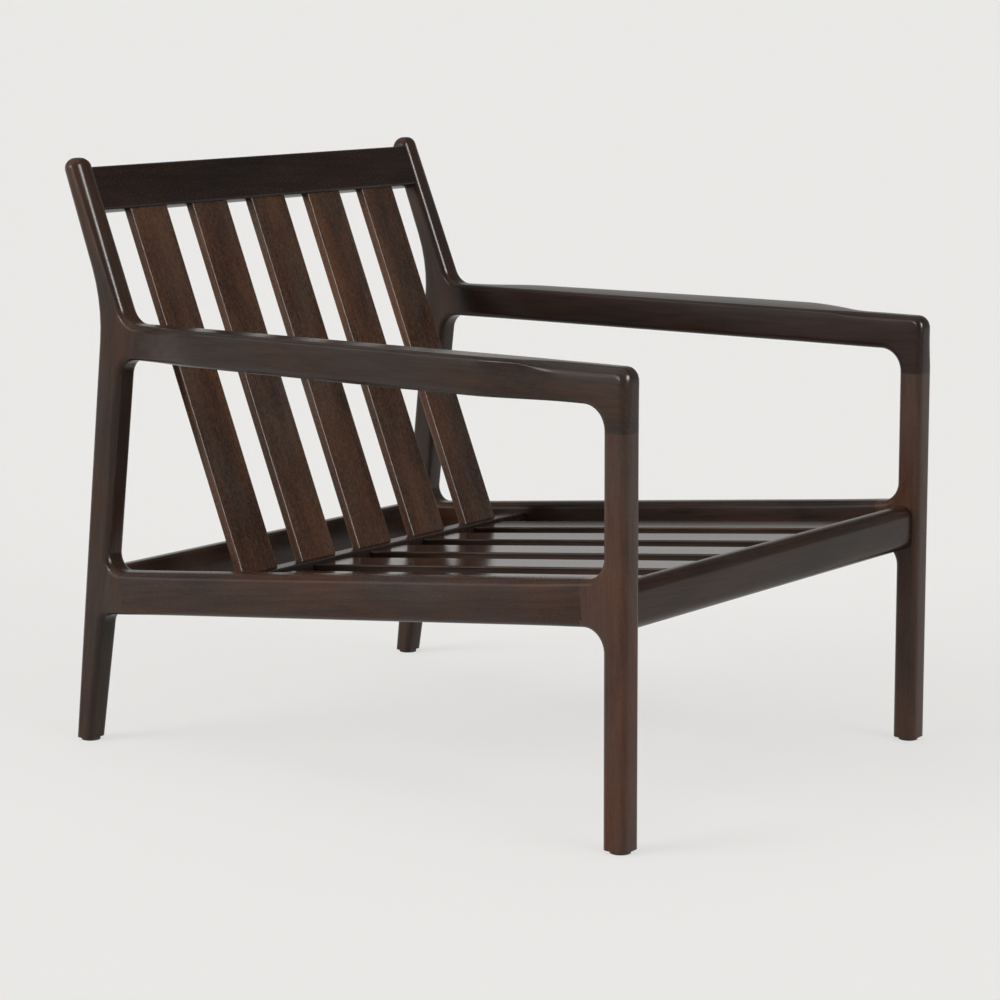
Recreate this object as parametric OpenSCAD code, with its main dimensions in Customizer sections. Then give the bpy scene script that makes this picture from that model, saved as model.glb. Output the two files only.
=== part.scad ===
// Lounge chair frame in dark stained hardwood, without cushions: two side frames joined by
// cross rails, a slatted back and a slatted seat. The front faces -Y, +Z is up, and the
// origin is on the floor, midway between the outermost points.

/* [Overall] */
// Clear width between the two side frames
clear_w = 638; // [560:1:700]
// Height of the rounded tops of the back posts
overall_h = 771; // [745:1:820]
// Depth over the feet, from the front of the front foot to the back of the rear foot
foot_span = 890; // [860:1:930]
// Distance from the back of the rear foot forward to the back post's root at the armrest's top
post_inset = 108; // [90:1:140]
// Height of the armrest's top at its front
arm_h = 569.5; // [540:0.5:600]
// Height of the side rails' top edge above the front foot
seat_h = 325.5; // [300:0.5:350]

/* [Angles] */
// Lean of the back posts and back slats from the vertical
back_lean = 22.2; // [18:0.1:25]
// Fall of the seat towards the back
seat_slope = 6.4; // [4:0.1:8]
// Fall of the armrest towards the back
arm_slope = 0.5; // [0:0.1:1.5]
// Rake of the front leg
front_rake = 0.5; // [0:0.1:1.5]
// Rake of the rear leg's back face
rear_rake = 5.95; // [4:0.05:7]
// Taper of the back post
post_taper = 1.1; // [0:0.1:1.5]

/* [Side frames] */
// Thickness of the side frames' members
member_t = 34; // [30:0.5:40]
// Rounding along the edges of the side frames
edge_r = 8; // [5:0.5:9]
// Depth of the front leg
front_leg_d = 32.5; // [30:0.5:38]
// Depth of the rear leg at its foot
rear_foot_d = 26; // [24:0.5:34]
// Depth of the rear leg under the side rail
rear_low_d = 35.5; // [32:0.5:40]
// Depth of the rear leg above the side rail
rear_mid_d = 38; // [35:0.5:42]
// Depth of the rear leg under the armrest
rear_top_d = 41.5; // [38:0.5:46]
// Depth of the back post at its top, square to the post
post_d = 27.5; // [25:0.5:32]
// Rounding of the edges over the tip of the back post
tip_edge_r = 12; // [8:0.5:12]
// Radius at the back of the knee between rear leg and post
knee_r = 200; // [120:5:240]
// Height of the side rail
side_rail_h = 57; // [48:0.5:62]
// Fillets where the side rail meets the front leg
front_fillet = 27; // [18:1:32]
// Fillet above the side rail at the rear leg
rear_fillet = 20; // [12:1:24]
// Fillet under the side rail at the rear leg
foot_fillet = 17; // [10:1:22]
// Straight run of each knuckle beyond its fillet, up to the seam
knuckle_run = 5; // [2:0.5:10]

/* [Armrests] */
// Thickness of the armrest from top to bottom
arm_d = 46; // [40:0.5:52]
// Swell of the armrest beyond the outer face of the legs at its widest
arm_swell = 27; // [10:0.5:34]
// Swell just ahead of the rear joint
arm_swell_rear = 15; // [5:0.5:20]
// Distance from the armrest's front face to where the swell starts
swell_start = 84; // [70:1:120]
// Length over which the front of the armrest swells
swell_front_l = 125; // [90:1:160]
// Length over which the swell fades at the rear joint
swell_rear_l = 110; // [80:1:160]
// Radius of the armrest's front corner
arm_corner_r = 15; // [14:0.5:28]
// Radius under the armrest at the front leg
arm_fillet = 30; // [20:1:34]
// Radius between the armrest's top and the back post
post_fillet = 28; // [18:1:34]
// Radius under the armrest at the rear leg
window_fillet = 24; // [14:1:28]
// Distance from the post's front face to the armrest's rear seam
arm_seam = 26; // [25:0.5:34]
// Edge radius along the outer top edge at the widest place
swell_top_r = 5; // [3:0.5:16]
// Edge radius along the outer bottom edge at the widest place
swell_bottom_r = 15; // [6:0.5:18]
// Edge radius along the inner top edge of the armrest
arm_inner_r = 4; // [2:0.5:8]
// Rise of the armrest's top towards its outer edge at the widest place
arm_lift = 3.5; // [0:0.5:4]

/* [Cross rails] */
// Height of the front rail
front_rail_h = 58; // [50:0.5:64]
// Thickness of the front, rear and top rails
rail_t = 24; // [20:0.5:28]
// Drop of the front rail's top edge below the side rails' top edge at the front foot
front_rail_drop = 8; // [4:0.5:12]
// Setback of the front rail behind the face of the front legs
front_rail_setback = 8; // [6:0.5:10]
// Height of the rear rail
rear_rail_h = 50; // [40:0.5:56]
// Height of the rear rail's top above the side rails' top, square to the seat
rear_rail_rise = 4.5; // [0:0.5:10]
// Setback of the rear rail behind the front face of the rear legs
rear_rail_setback = 3; // [2:0.5:6]
// Width of the top rail, along the slope of the back
top_rail_h = 60; // [50:0.5:70]
// Thickness of the top rail
top_rail_t = 22; // [20:0.5:24]
// Setback of the top rail behind the face of the posts
top_rail_setback = 2; // [1:0.5:4]
// Height of the post ends above the top rail, along the slope
horn_h = 15; // [8:0.5:24]
// Depth of the housings in the side frames that take the rails' ends
housing = 3; // [2:0.5:5]
// Depth of the lower back rail, along the seat
low_rail_d = 36; // [33:0.5:42]
// Height of the lower back rail, square to the seat
low_rail_h = 36; // [32:0.5:40]
// How far the lower back rail stands above the seat slats
low_rail_rise = 5; // [2:0.5:8]
// How far the lower back rail reaches in front of the back slats
low_rail_lap = 14; // [12:0.5:16]

/* [Slats] */
// Width of a back slat
back_slat_w = 69.5; // [55:0.5:80]
// Gap between the outer back slats and the side frames
back_side_gap = 49; // [35:0.5:70]
// Thickness of a back slat
back_slat_t = 12; // [10:0.5:13]
// Setback of the back slats behind the face of the posts
slat_setback = 7; // [6:0.5:8]
// Depth of the back slats' ends inside the rails
slat_tenon = 12; // [8:0.5:16]
// Width of a seat slat
seat_slat_w = 63; // [50:0.5:80]
// Gap between the outer seat slats and the side frames
seat_side_gap = 56.5; // [40:0.5:80]
// Thickness of a seat slat
seat_slat_t = 14; // [12:0.5:16]
// Depth of the seat slats' tops below the side rails' top edge
seat_recess = 19; // [14:0.5:22]
// Edge rounding of slats
slat_r = 2; // [0.5:0.1:3]
// Depth of the cleats under the seat slats' ends
cleat_d = 22; // [18:0.5:26]
// Height of the cleats under the seat slats' ends
cleat_h = 18; // [16:0.5:20]

/* [Joints and feet] */
// Thickness of the loose tenons
tenon_t = 10; // [8:0.5:11]
// Depth of a loose tenon in each piece
tenon_l = 20; // [14:0.5:22]
// Clearance round tenons, slat ends and screws
fit = 0.2; // [0.1:0.05:0.3]
// Diameter of the foot glides
glide_dia = 25; // [20:0.5:25]
// Thickness of the foot glides
glide_h = 4; // [3:0.5:8]
// Shank diameter of the wood screws
screw_dia = 4; // [3:0.1:4.5]
// Head diameter of the wood screws
screw_head = 8; // [6.5:0.1:9]

/* [Hidden] */
SIDES = [-1, 1];
BACK_SLATS = 5;
SEAT_SLATS = 5;
// Heights, lengths and insets of the wood screws
HEAD_H = 2.6;
GLIDE_SCREW_L = 26;
GLIDE_HEAD_INSET = 1;
SLAT_SCREW_BITE = 8;
CLEAT_SCREW_BITE = 14;
CLEAT_HEAD_INSET = 0.5;
FRONT_HEAD_INSET = 2;
// Space at each end of a tenon's mortise and at a screw's tip
END_SPACE = 1;
// Wood left above and below the tenons of the rails
RAIL_SHOULDER = 12;
LOW_SHOULDER = 7;
// Edge roundings of the cross rails, from the lower front edge round to the upper front edge
FRONT_RAIL_R = [8, 3, 3, 10];
TOP_RAIL_R = [3, 3, 3, 3];
REAR_RAIL_R = [4, 4, 4, 4];
LOW_RAIL_R = [2, 2, 2, 2];
CLEAT_R = [1, 1, 1, 1];
// Clearance at the ends of the seat slats and cleats
SLAT_GAP = 1;
// Distance of the front cleat's screws from the middle of its width
CLEAT_SHIFT = 2;
// Length that is cut off the front cleat's slanted blank
CLEAT_SPARE = 8;
// How far cutting shapes reach past the pieces they cut
PAST = 40;
TINY = 0.0001;
// Steps of a rounded edge, of a fillet, and of the knee
EDGE_STEPS = 4;
ARC_STEPS = 7;
KNEE_STEPS = 14;
// Share of the post's half depth that its rounded tip takes up
TIP_ROUND = 0.97;
ARM_STATIONS = 30;
FAN_STATIONS = 10;
WOOD = [0.25, 0.18, 0.15];
WOOD_SLAT = [0.29, 0.19, 0.14];
WOOD_INNER = [0.42, 0.30, 0.22];
BLACK = [0.05, 0.05, 0.05];
STEEL = [0.6, 0.6, 0.58];

// Side view helpers: a point is [y, z] and a line is [point, direction]
function unit(v) = v / norm(v);
function cross2(a, b) = a[0] * b[1] - a[1] * b[0];
function meet(a, b) = a[0] + a[1] * cross2(b[0] - a[0], b[1]) / cross2(a[1], b[1]);
function at_height(line, z) = meet(line, [[0, z], [1, 0]]);
function shift(line, v) = [line[0] + v, line[1]];
function mix(a, b, t) = a + (b - a) * t;
function smooth(t) = let (c = max(0, min(1, t))) c * c * (3 - 2 * c);

// Lines of the side view, with y from the front of the front foot
foot_z = glide_h;
leg_shift = [tan(front_rake), 1];
front_leg_front = [[0, foot_z], leg_shift];
front_leg_back = [[front_leg_d, foot_z], leg_shift];
arm_fall = [cos(arm_slope), -sin(arm_slope)];
seat_fall = [cos(seat_slope), -sin(seat_slope)];
seat_up = [sin(seat_slope), cos(seat_slope)];
foot_axis = front_leg_d / 2;
arm_front_y = at_height(front_leg_front, arm_h - arm_d - arm_fillet)[0];
arm_top = [[arm_front_y, arm_h], arm_fall];
rail_top = [[foot_axis, seat_h], seat_fall];
rail_under = shift(rail_top, -side_rail_h * seat_up);
rear_leg_back = [[foot_span, foot_z], [-sin(rear_rake), cos(rear_rake)]];
back_up = [sin(back_lean), cos(back_lean)];
back_out = [cos(back_lean), -sin(back_lean)];
arm_l = foot_span - post_inset;
post_root = arm_top[0] + arm_fall * arm_l / cos(arm_slope);

// Places along the back post, from the armrest's top upwards
horn_r = post_d / 2;
horn_s = (overall_h - horn_r - post_root[1] + horn_r * sin(back_lean)) / cos(back_lean);
horn_end = horn_s + horn_r;
post_tip_back = post_root + back_up * horn_end + back_out * post_d;
post_back = [post_tip_back, [sin(back_lean - post_taper), cos(back_lean - post_taper)]];
knee = meet(rear_leg_back, post_back);
horn_back_y = (post_root + back_up * horn_s + back_out * horn_r)[0] + horn_r;
overall_d = max(foot_span, horn_back_y);
y_mid = overall_d / 2;

// The rear leg's front face, from its depths at four heights
function rear_front(z, d) = at_height(rear_leg_back, z) - [d, 0];
window_top = rear_front(post_root[1] - arm_d, rear_top_d);
rail_z_back = meet(rail_top, rear_leg_back)[1];
window_low = rear_front(rail_z_back, rear_mid_d);
under_rail = rear_front(rail_z_back - side_rail_h, rear_low_d);
foot_front = rear_front(foot_z, rear_foot_d);
rear_leg_front = [window_low, window_top - window_low];
rear_foot_front = [foot_front, under_rail - foot_front];

// Seams between the pieces of a side frame
arm_seam_y = post_root[0] - arm_seam;
leg_seam_z = arm_h - arm_d - arm_fillet;
front_seam_top = meet(rail_top, front_leg_back) + seat_fall * (front_fillet + knuckle_run);
front_seam_low = front_seam_top - seat_up * side_rail_h;
rear_run = max(rear_fillet, foot_fillet) + knuckle_run;
rear_seam_top = meet(rail_top, rear_leg_front) - seat_fall * rear_run;
rear_seam_low = rear_seam_top - seat_up * side_rail_h;
side_rail_l = norm(rear_seam_top - front_seam_top);

// Seat plane: origin under the side rails' top edge, at the top of the seat slats
seat_o = rail_top[0] - seat_up * seat_recess;
seat_plane = [seat_o, seat_fall];
slat_plane = [post_root + back_out * slat_setback, back_up];
slat_foot = meet(seat_plane, slat_plane);
slat_foot_u = norm(slat_foot - seat_o);
low_rail_u0 = slat_foot_u - low_rail_lap;
low_rail_w0 = low_rail_rise - low_rail_h;

// Front rail, in the side view
front_rail_top = seat_h - front_rail_drop;
front_rail_y = at_height(front_leg_front, front_rail_top - front_rail_h / 2)[0] + front_rail_setback;
front_rail_back = front_rail_y + rail_t;
// Seat slats run from the front rail to the lower back rail
seat_slat_u0 = (front_rail_back + SLAT_GAP - seat_o[0]) / cos(seat_slope);
seat_slat_u1 = low_rail_u0 - SLAT_GAP;

// Spacing of the slats from centre to centre
back_pitch = (clear_w - 2 * back_side_gap - back_slat_w) / (BACK_SLATS - 1);
seat_pitch = (clear_w - 2 * seat_side_gap - seat_slat_w) / (SEAT_SLATS - 1);

// Top rail and back slats, along the back's slope from the armrest's top
top_rail_s1 = horn_end - horn_h;
top_rail_s0 = top_rail_s1 - top_rail_h;
back_slat_s0 = slat_foot_s() - slat_tenon;
back_slat_s1 = top_rail_s0 + slat_tenon;
function slat_foot_s() =
    let (low_top = shift(seat_plane, seat_up * low_rail_rise))
    let (p = meet(low_top, slat_plane)) -norm(p - slat_plane[0]);

member_x = clear_w / 2 + member_t / 2;
rear_rail_line = shift(rail_top, seat_up * rear_rail_rise);
rear_rail_o = meet(rear_rail_line, rear_leg_front) + seat_fall * rear_rail_setback;

// A corner of an outline is [y, z, radius, kind]: kind 0 is rounded, kind 1 starts a flat cut
// and kind 2 ends one. Each outline point comes back as [point, inset direction].
function corner_points(a, b, c, steps) =
    let (p = [b[0], b[1]], back = unit([a[0], a[1]] - p), on = unit([c[0], c[1]] - p))
    b[3] == 1 ? let (n = [-back[1], back[0]], s = -on) [[p, s / (s * n)]] :
    b[3] == 2 ? let (n = [on[1], -on[0]], s = -back) [[p, s / (s * n)]] :
    let (half = acos(back * on) / 2, convex = cross2(-back, on) > 0)
    let (centre = p + unit(back + on) * b[2] / sin(half), turn = 180 - 2 * half)
    let (first = unit(p + back * b[2] / tan(half) - centre))
    [for (k = [0:steps])
        let (a = (convex ? 1 : -1) * turn * k / steps)
        let (d = [first[0] * cos(a) - first[1] * sin(a), first[0] * sin(a) + first[1] * cos(a)])
        [centre + d * b[2], convex ? d : -d]];

function outline(corners) =
    let (n = len(corners))
    [for (i = [0:n - 1])
        let (steps = corners[i][2] > 100 ? KNEE_STEPS : ARC_STEPS)
        each corner_points(corners[(i + n - 1) % n], corners[i], corners[(i + 1) % n], steps)];

// Triangles that fill a flat outline of points p, where ring lists the corners that are left:
// a corner is cut off if it is convex and no other corner lies in its triangle
function left_of(a, b, q) = cross2(b - a, q - a) >= 0;
function is_ear(p, ring, i) =
    let (n = len(ring), a = p[ring[(i + n - 1) % n]], b = p[ring[i]], c = p[ring[(i + 1) % n]])
    cross2(b - a, c - b) > TINY && len([for (k = [2:n - 2])
        let (q = p[ring[(i + k) % n]])
        if (left_of(a, b, q) && left_of(b, c, q) && left_of(c, a, q)) k]) == 0;
function find_ear(p, ring, i = 0) =
    i == len(ring) - 1 || is_ear(p, ring, i) ? i : find_ear(p, ring, i + 1);
function fill(p, ring, done = []) =
    len(ring) == 3 ? concat(done, [ring]) :
    let (n = len(ring), i = find_ear(p, ring))
    fill(p, [for (k = [0:n - 1]) if (k != i) ring[k]],
        concat(done, [[ring[(i + n - 1) % n], ring[i], ring[(i + 1) % n]]]));
function counted(list) = [for (i = [0:len(list) - 1]) i];

// A closed skin over rings that have the same number of points, with the faces that fill its
// first ring
module skin(rings, cap) {
    n = len(rings[0]);
    m = len(rings);
    sides = [for (j = [0:m - 2], i = [0:n - 1])
        let (a = j * n + i, b = j * n + (i + 1) % n)
        each [[a, a + n, b], [b, a + n, b + n]]];
    ends = [for (f = cap) each [f, [for (i = [len(f) - 1:-1:0]) (m - 1) * n + f[i]]]];
    polyhedron([for (r = rings) each r], concat(sides, ends), convexity = 8);
}

// Edge radius at a point of a side frame's outline: it grows over the tip of the back post
function plate_edge_r(p) = mix(edge_r, tip_edge_r, smooth(((p - post_root) * back_up - horn_s) / horn_r));

// A member cut from a board of member_t, with its edges rounded on both faces
module rounded_plate(corners) {
    points = outline(corners);
    flat = [for (q = points) q[0] - q[1] * plate_edge_r(q[0])];
    turns = [for (k = [0:EDGE_STEPS]) 90 * k / EDGE_STEPS];
    skin([for (face = SIDES, k = [0:EDGE_STEPS])
        let (a = face < 0 ? turns[k] : turns[EDGE_STEPS - k])
        [for (q = points)
            let (r = plate_edge_r(q[0]), p = q[0] - q[1] * r * (1 - sin(a)))
            [face * (member_t / 2 - r * (1 - cos(a))), p[0], p[1]]]], fill(flat, counted(flat)));
}

// Points of a rectangle from a to b with its own radius at each corner, anticlockwise from a
function round_rect(a, b, r, steps = EDGE_STEPS) =
    let (spots = [[a[0], a[1], 1, 1], [b[0], a[1], -1, 1], [b[0], b[1], -1, -1], [a[0], b[1], 1, -1]])
    [for (i = [0:3], k = [0:steps])
        let (c = [spots[i][0] + spots[i][2] * r[i], spots[i][1] + spots[i][3] * r[i]])
        let (t = 180 + 90 * i + 90 * k / steps)
        c + r[i] * [cos(t), sin(t)]];

// Places a piece drawn in the side view at the chair's own origin
module in_place() translate([0, -y_mid, 0]) children();

// One of the two side frames: s is -1 for the sitter's right and 1 for the left
module side(s) in_place() translate([s * member_x, 0, 0])
    mirror([s > 0 ? 1 : 0, 0, 0]) children();

// A bar along X with a round_rect section drawn in [y, z] at a place of the side view
module cross_bar(length, place, angle, a, b, r)
    in_place() translate([0, place[0], place[1]]) rotate([angle, 0, 0])
    translate([-length / 2, 0, 0]) rotate([90, 0, 90])
    linear_extrude(length) polygon(round_rect(a, b, r));

// A loose tenon along Z, with its wide side along Y and its edges rounded
module tenon_shape(width, thick, length) {
    core = width - thick;
    linear_extrude(length, center = true) {
        square([thick, core], center = true);
        for (e = [-1, 1]) translate([0, e * core / 2]) circle(d = thick, $fn = 32);
    }
}

// A tenon, or with cut above zero its mortise, at a place of a side frame.
// The direction is an angle in the side view, where 0 is along Y and 90 is up.
module frame_tenon(place, angle, width, cut = 0)
    translate([0, place[0], place[1]]) rotate([angle - 90, 0, 0])
    tenon_shape(width + 2 * cut, tenon_t + 2 * cut, 2 * tenon_l + (cut > 0 ? 2 * END_SPACE : 0));

// A tenon, or its mortise, along X at a cross rail's end on side s; the wide side turns with angle
module rail_tenon(s, place, angle, width, depth_in, cut = 0)
    in_place() translate([s * (clear_w / 2 + depth_in), place[0], place[1]])
    rotate([angle, 0, 0]) rotate([90, 0, 90])
    tenon_shape(width + 2 * cut, tenon_t + 2 * cut, 2 * tenon_l + (cut > 0 ? 2 * END_SPACE : 0));

// A wood screw along +Z, its head's flat side at the origin, or with cut above zero its hole
module screw(length, cut = 0) {
    translate([0, 0, cut > 0 ? -PAST : 0])
        cylinder(d = screw_head + 2 * cut, h = HEAD_H + (cut > 0 ? PAST : 0), $fn = 32);
    cylinder(d = screw_dia + 2 * cut, h = length + (cut > 0 ? END_SPACE : 0), $fn = 24);
}

// Places of the joints
arm_rear_joint = [arm_seam_y, meet(arm_top, [[arm_seam_y, 0], [0, 1]])[1] - arm_d / 2];
arm_front_joint = [at_height(front_leg_front, leg_seam_z)[0] + front_leg_d / 2, leg_seam_z];
front_knuckle = (front_seam_top + front_seam_low) / 2;
rear_knuckle = (rear_seam_top + rear_seam_low) / 2;
front_rail_joint = [front_rail_y + rail_t / 2, front_rail_top - front_rail_h / 2];
rear_rail_joint = rear_rail_o + seat_fall * rail_t / 2 - seat_up * rear_rail_h / 2;
top_rail_joint = post_root + back_up * (top_rail_s0 + top_rail_s1) / 2
    + back_out * (top_rail_setback + top_rail_t / 2);
low_rail_joint = seat_o + seat_fall * (low_rail_u0 + low_rail_d / 2)
    + seat_up * (low_rail_w0 + low_rail_h / 2);
arm_tenon_w = arm_d - 2 * edge_r;
leg_tenon_w = front_leg_d - 2 * edge_r;
side_tenon_w = side_rail_h - 2 * edge_r;
front_tenon_w = front_rail_h - 2 * RAIL_SHOULDER;
rear_tenon_w = rear_rail_h - 2 * RAIL_SHOULDER;
top_tenon_w = top_rail_h - 2 * RAIL_SHOULDER;
low_tenon_w = low_rail_h - 2 * LOW_SHOULDER;

module arm_rear_tenon(cut = 0) frame_tenon(arm_rear_joint, 0, arm_tenon_w, cut);
module arm_front_tenon(cut = 0) frame_tenon(arm_front_joint, 90, leg_tenon_w, cut);
module side_front_tenon(cut = 0) frame_tenon(front_knuckle, -seat_slope, side_tenon_w, cut);
module side_rear_tenon(cut = 0) frame_tenon(rear_knuckle, -seat_slope, side_tenon_w, cut);
module front_rail_tenon(s, cut = 0) rail_tenon(s, front_rail_joint, 0, front_tenon_w, housing, cut);
module rear_rail_tenon(s, cut = 0) rail_tenon(s, rear_rail_joint, -seat_slope, rear_tenon_w, 0, cut);
module top_rail_tenon(s, cut = 0)
    rail_tenon(s, top_rail_joint, -back_lean, top_tenon_w, housing, cut);
module low_rail_tenon(s, cut = 0) rail_tenon(s, low_rail_joint, -seat_slope, low_tenon_w, 0, cut);

module glide_at(s, place) in_place() translate([s * member_x, place, 0]) children();
front_glide_y = foot_axis;
rear_glide_y = foot_span - rear_foot_d / 2;
module glide_screw(cut = 0) translate([0, 0, GLIDE_HEAD_INSET]) screw(GLIDE_SCREW_L, cut);

// Cross rails, drawn a little larger by grow to cut their housings
function grown(radii, grow) = [for (r = radii) r + grow];
module front_rail_bar(grow = 0)
    cross_bar(clear_w + 2 * housing, [front_rail_y, front_rail_top - front_rail_h], 0,
        [-grow, -grow], [rail_t + grow, front_rail_h + grow],
        grown(FRONT_RAIL_R, grow));
module top_rail_bar(grow = 0)
    cross_bar(clear_w + 2 * housing, post_root + back_up * top_rail_s0, -back_lean,
        [top_rail_setback - grow, -grow], [top_rail_setback + top_rail_t + grow, top_rail_h + grow],
        grown(TOP_RAIL_R, grow));

module rear_leg(s) {
    arm_low_z = arm_rear_joint[1] - arm_d / 2;
    tip = post_root + back_up * horn_end;
    color(WOOD) difference() {
        side(s) rounded_plate([
            [foot_front[0], foot_z, 0, 1],
            [foot_span, foot_z, 0, 2],
            [knee[0], knee[1], knee_r, 0],
            [post_tip_back[0], post_tip_back[1], horn_r * TIP_ROUND, 0],
            [tip[0], tip[1], horn_r * TIP_ROUND, 0],
            [post_root[0], post_root[1], post_fillet, 0],
            [arm_seam_y, arm_low_z + arm_d, 0, 1],
            [arm_seam_y, arm_low_z, 0, 2],
            [window_top[0], window_top[1], window_fillet, 0],
            concat(meet(rail_top, rear_leg_front), [rear_fillet, 0]),
            concat(rear_seam_top, [0, 1]),
            concat(rear_seam_low, [0, 2]),
            concat(meet(rail_under, rear_foot_front), [foot_fillet, 0])
        ]);
        side(s) arm_rear_tenon(fit);
        side(s) side_rear_tenon(fit);
        rear_rail_tenon(s, fit);
        top_rail_tenon(s, fit);
        top_rail_bar(fit);
        glide_at(s, rear_glide_y) glide_screw(fit);
    }
}

module front_leg(s) {
    seam_front = at_height(front_leg_front, leg_seam_z);
    seam_back = at_height(front_leg_back, leg_seam_z);
    color(WOOD) difference() {
        side(s) rounded_plate([
            [0, foot_z, 0, 1],
            [front_leg_d, foot_z, 0, 2],
            concat(meet(rail_under, front_leg_back), [front_fillet, 0]),
            concat(front_seam_low, [0, 1]),
            concat(front_seam_top, [0, 2]),
            concat(meet(rail_top, front_leg_back), [front_fillet, 0]),
            concat(seam_back, [0, 1]),
            concat(seam_front, [0, 2])
        ]);
        side(s) arm_front_tenon(fit);
        side(s) side_front_tenon(fit);
        front_rail_tenon(s, fit);
        front_rail_bar(fit);
        glide_at(s, front_glide_y) glide_screw(fit);
    }
}

// Swell of the armrest beyond the leg's outer face at a place y of the side view
function swell(y) =
    let (rear = arm_seam_y - y, front = y - arm_front_y - swell_start)
    smooth(front / swell_front_l) * (arm_swell_rear * smooth(rear / swell_rear_l)
        + (arm_swell - arm_swell_rear) * min(1, rear / (arm_l - swell_start - 2 * swell_front_l)));

// One ring of the armrest between a point under it and a point on top of it
function arm_ring(low, high) =
    let (b = swell((low[0] + high[0]) / 2), f = b / arm_swell, h = norm(high - low))
    let (up = (high - low) / h, lift = arm_lift * f / h / (member_t + b))
    let (ring = round_rect([-member_t / 2 - b, 0], [member_t / 2, h], [
        mix(edge_r, swell_bottom_r, f), edge_r, mix(edge_r, arm_inner_r, smooth(2 * f)),
        mix(edge_r, swell_top_r, f)]))
    [for (q = ring)
        let (p = low + up * q[1] * (1 + lift * (member_t / 2 - q[0])))
        [q[0], p[0], p[1]]];

// Where a ray from the fillet's centre leaves the armrest's outer front corner
function corner_hit(centre, d) =
    let (front_y = arm_front_y, top_z = meet(arm_top, [[centre[0], 0], [0, 1]])[1])
    let (arc = [front_y + arm_corner_r, top_z - arm_corner_r])
    let (to_top = (top_z - centre[1]) / max(d[1], TINY))
    let (to_front = (front_y - centre[0]) / min(d[0], -TINY))
    let (m = centre - arc, half = m * d)
    let (to_arc = -half + sqrt(max(0, half * half - m * m + arm_corner_r * arm_corner_r)))
    let (flat_hit = centre + d * to_top, front_hit = centre + d * to_front)
    flat_hit[0] > arc[0] ? flat_hit : front_hit[1] < arc[1] ? front_hit : centre + d * to_arc;

module armrest(s) {
    centre = [at_height(front_leg_back, leg_seam_z)[0] + arm_fillet, leg_seam_z];
    straight = [for (k = [0:ARM_STATIONS])
        let (y = mix(arm_seam_y, centre[0], k / ARM_STATIONS))
        let (cut = [[y, 0], [0, 1]])
        let (high = [y, k == 0 ? arm_rear_joint[1] + arm_d / 2 : meet(arm_top, cut)[1]])
        arm_ring([y, high[1] - arm_d], high)];
    top_z = meet(arm_top, [[centre[0], 0], [0, 1]])[1];
    low_z = top_z - arm_d;
    fan = [for (k = [1:FAN_STATIONS])
        let (t = 90 + 90 * k / FAN_STATIONS, d = [cos(t), sin(t)])
        let (reach = [arm_fillet, low_z - leg_seam_z])
        let (low = centre + [reach[0] * d[0], reach[1] * d[1]])
        arm_ring(low, corner_hit(centre, d))];
    color(WOOD) difference() {
        side(s) skin(concat(straight, fan), [counted(straight[0])]);
        side(s) arm_rear_tenon(fit);
        side(s) arm_front_tenon(fit);
    }
}

module side_rail(s) color(WOOD) difference() {
    side(s) translate([0, front_seam_low[0], front_seam_low[1]]) rotate([-seat_slope, 0, 0])
        rotate([-90, 0, 0]) linear_extrude(side_rail_l)
        polygon([for (q = round_rect([-member_t / 2, 0], [member_t / 2, side_rail_h],
            [edge_r, edge_r, edge_r, edge_r])) [q[0], -q[1]]]);
    side(s) side_front_tenon(fit);
    side(s) side_rear_tenon(fit);
    low_rail_tenon(s, fit);
}

module front_rail() color(WOOD) difference() {
    front_rail_bar();
    for (s = SIDES) front_rail_tenon(s, fit);
    front_cleat_screws(fit);
}

module rear_rail() color(WOOD) difference() {
    cross_bar(clear_w, rear_rail_o, -seat_slope, [0, -rear_rail_h], [rail_t, 0], REAR_RAIL_R);
    for (s = SIDES) rear_rail_tenon(s, fit);
}

module top_rail() color(WOOD) difference() {
    top_rail_bar();
    for (s = SIDES) top_rail_tenon(s, fit);
    for (i = [1:BACK_SLATS]) back_slat_bar(i, fit);
}

module lower_back_rail() color(WOOD) difference() {
    cross_bar(clear_w, seat_o, -seat_slope, [low_rail_u0, low_rail_w0],
        [low_rail_u0 + low_rail_d, low_rail_rise], LOW_RAIL_R);
    for (s = SIDES) low_rail_tenon(s, fit);
    for (i = [1:BACK_SLATS]) back_slat_bar(i, fit);
    rear_cleat_screws(fit);
}

// Back slats, or with cut above zero their mortises
module back_slat_bar(i, cut = 0)
    in_place() translate([(i - (BACK_SLATS + 1) / 2) * back_pitch, post_root[0], post_root[1]])
    rotate([-back_lean, 0, 0]) translate([0, slat_setback, back_slat_s0 - cut])
    linear_extrude(back_slat_s1 - back_slat_s0 + 2 * cut)
    polygon(round_rect([-back_slat_w / 2 - cut, -cut], [back_slat_w / 2 + cut, back_slat_t + cut],
        [1, 1, 1, 1] * slat_r));

module back_slat(i) color(WOOD_SLAT) back_slat_bar(i);

// Frame of the seat: X across, Y along the seat's fall, Z square to it
module on_seat() in_place() translate([0, seat_o[0], seat_o[1]]) rotate([-seat_slope, 0, 0])
    children();

function seat_slat_x(i) = (i - (SEAT_SLATS + 1) / 2) * seat_pitch;

module seat_slat(i) color(WOOD_SLAT) difference() {
    on_seat() translate([seat_slat_x(i), seat_slat_u1, -seat_slat_t]) rotate([90, 0, 0])
        linear_extrude(seat_slat_u1 - seat_slat_u0)
        polygon(round_rect([-seat_slat_w / 2, 0], [seat_slat_w / 2, seat_slat_t],
            [1, 1, 1, 1] * slat_r));
    slat_screws(i, fit);
}

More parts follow.
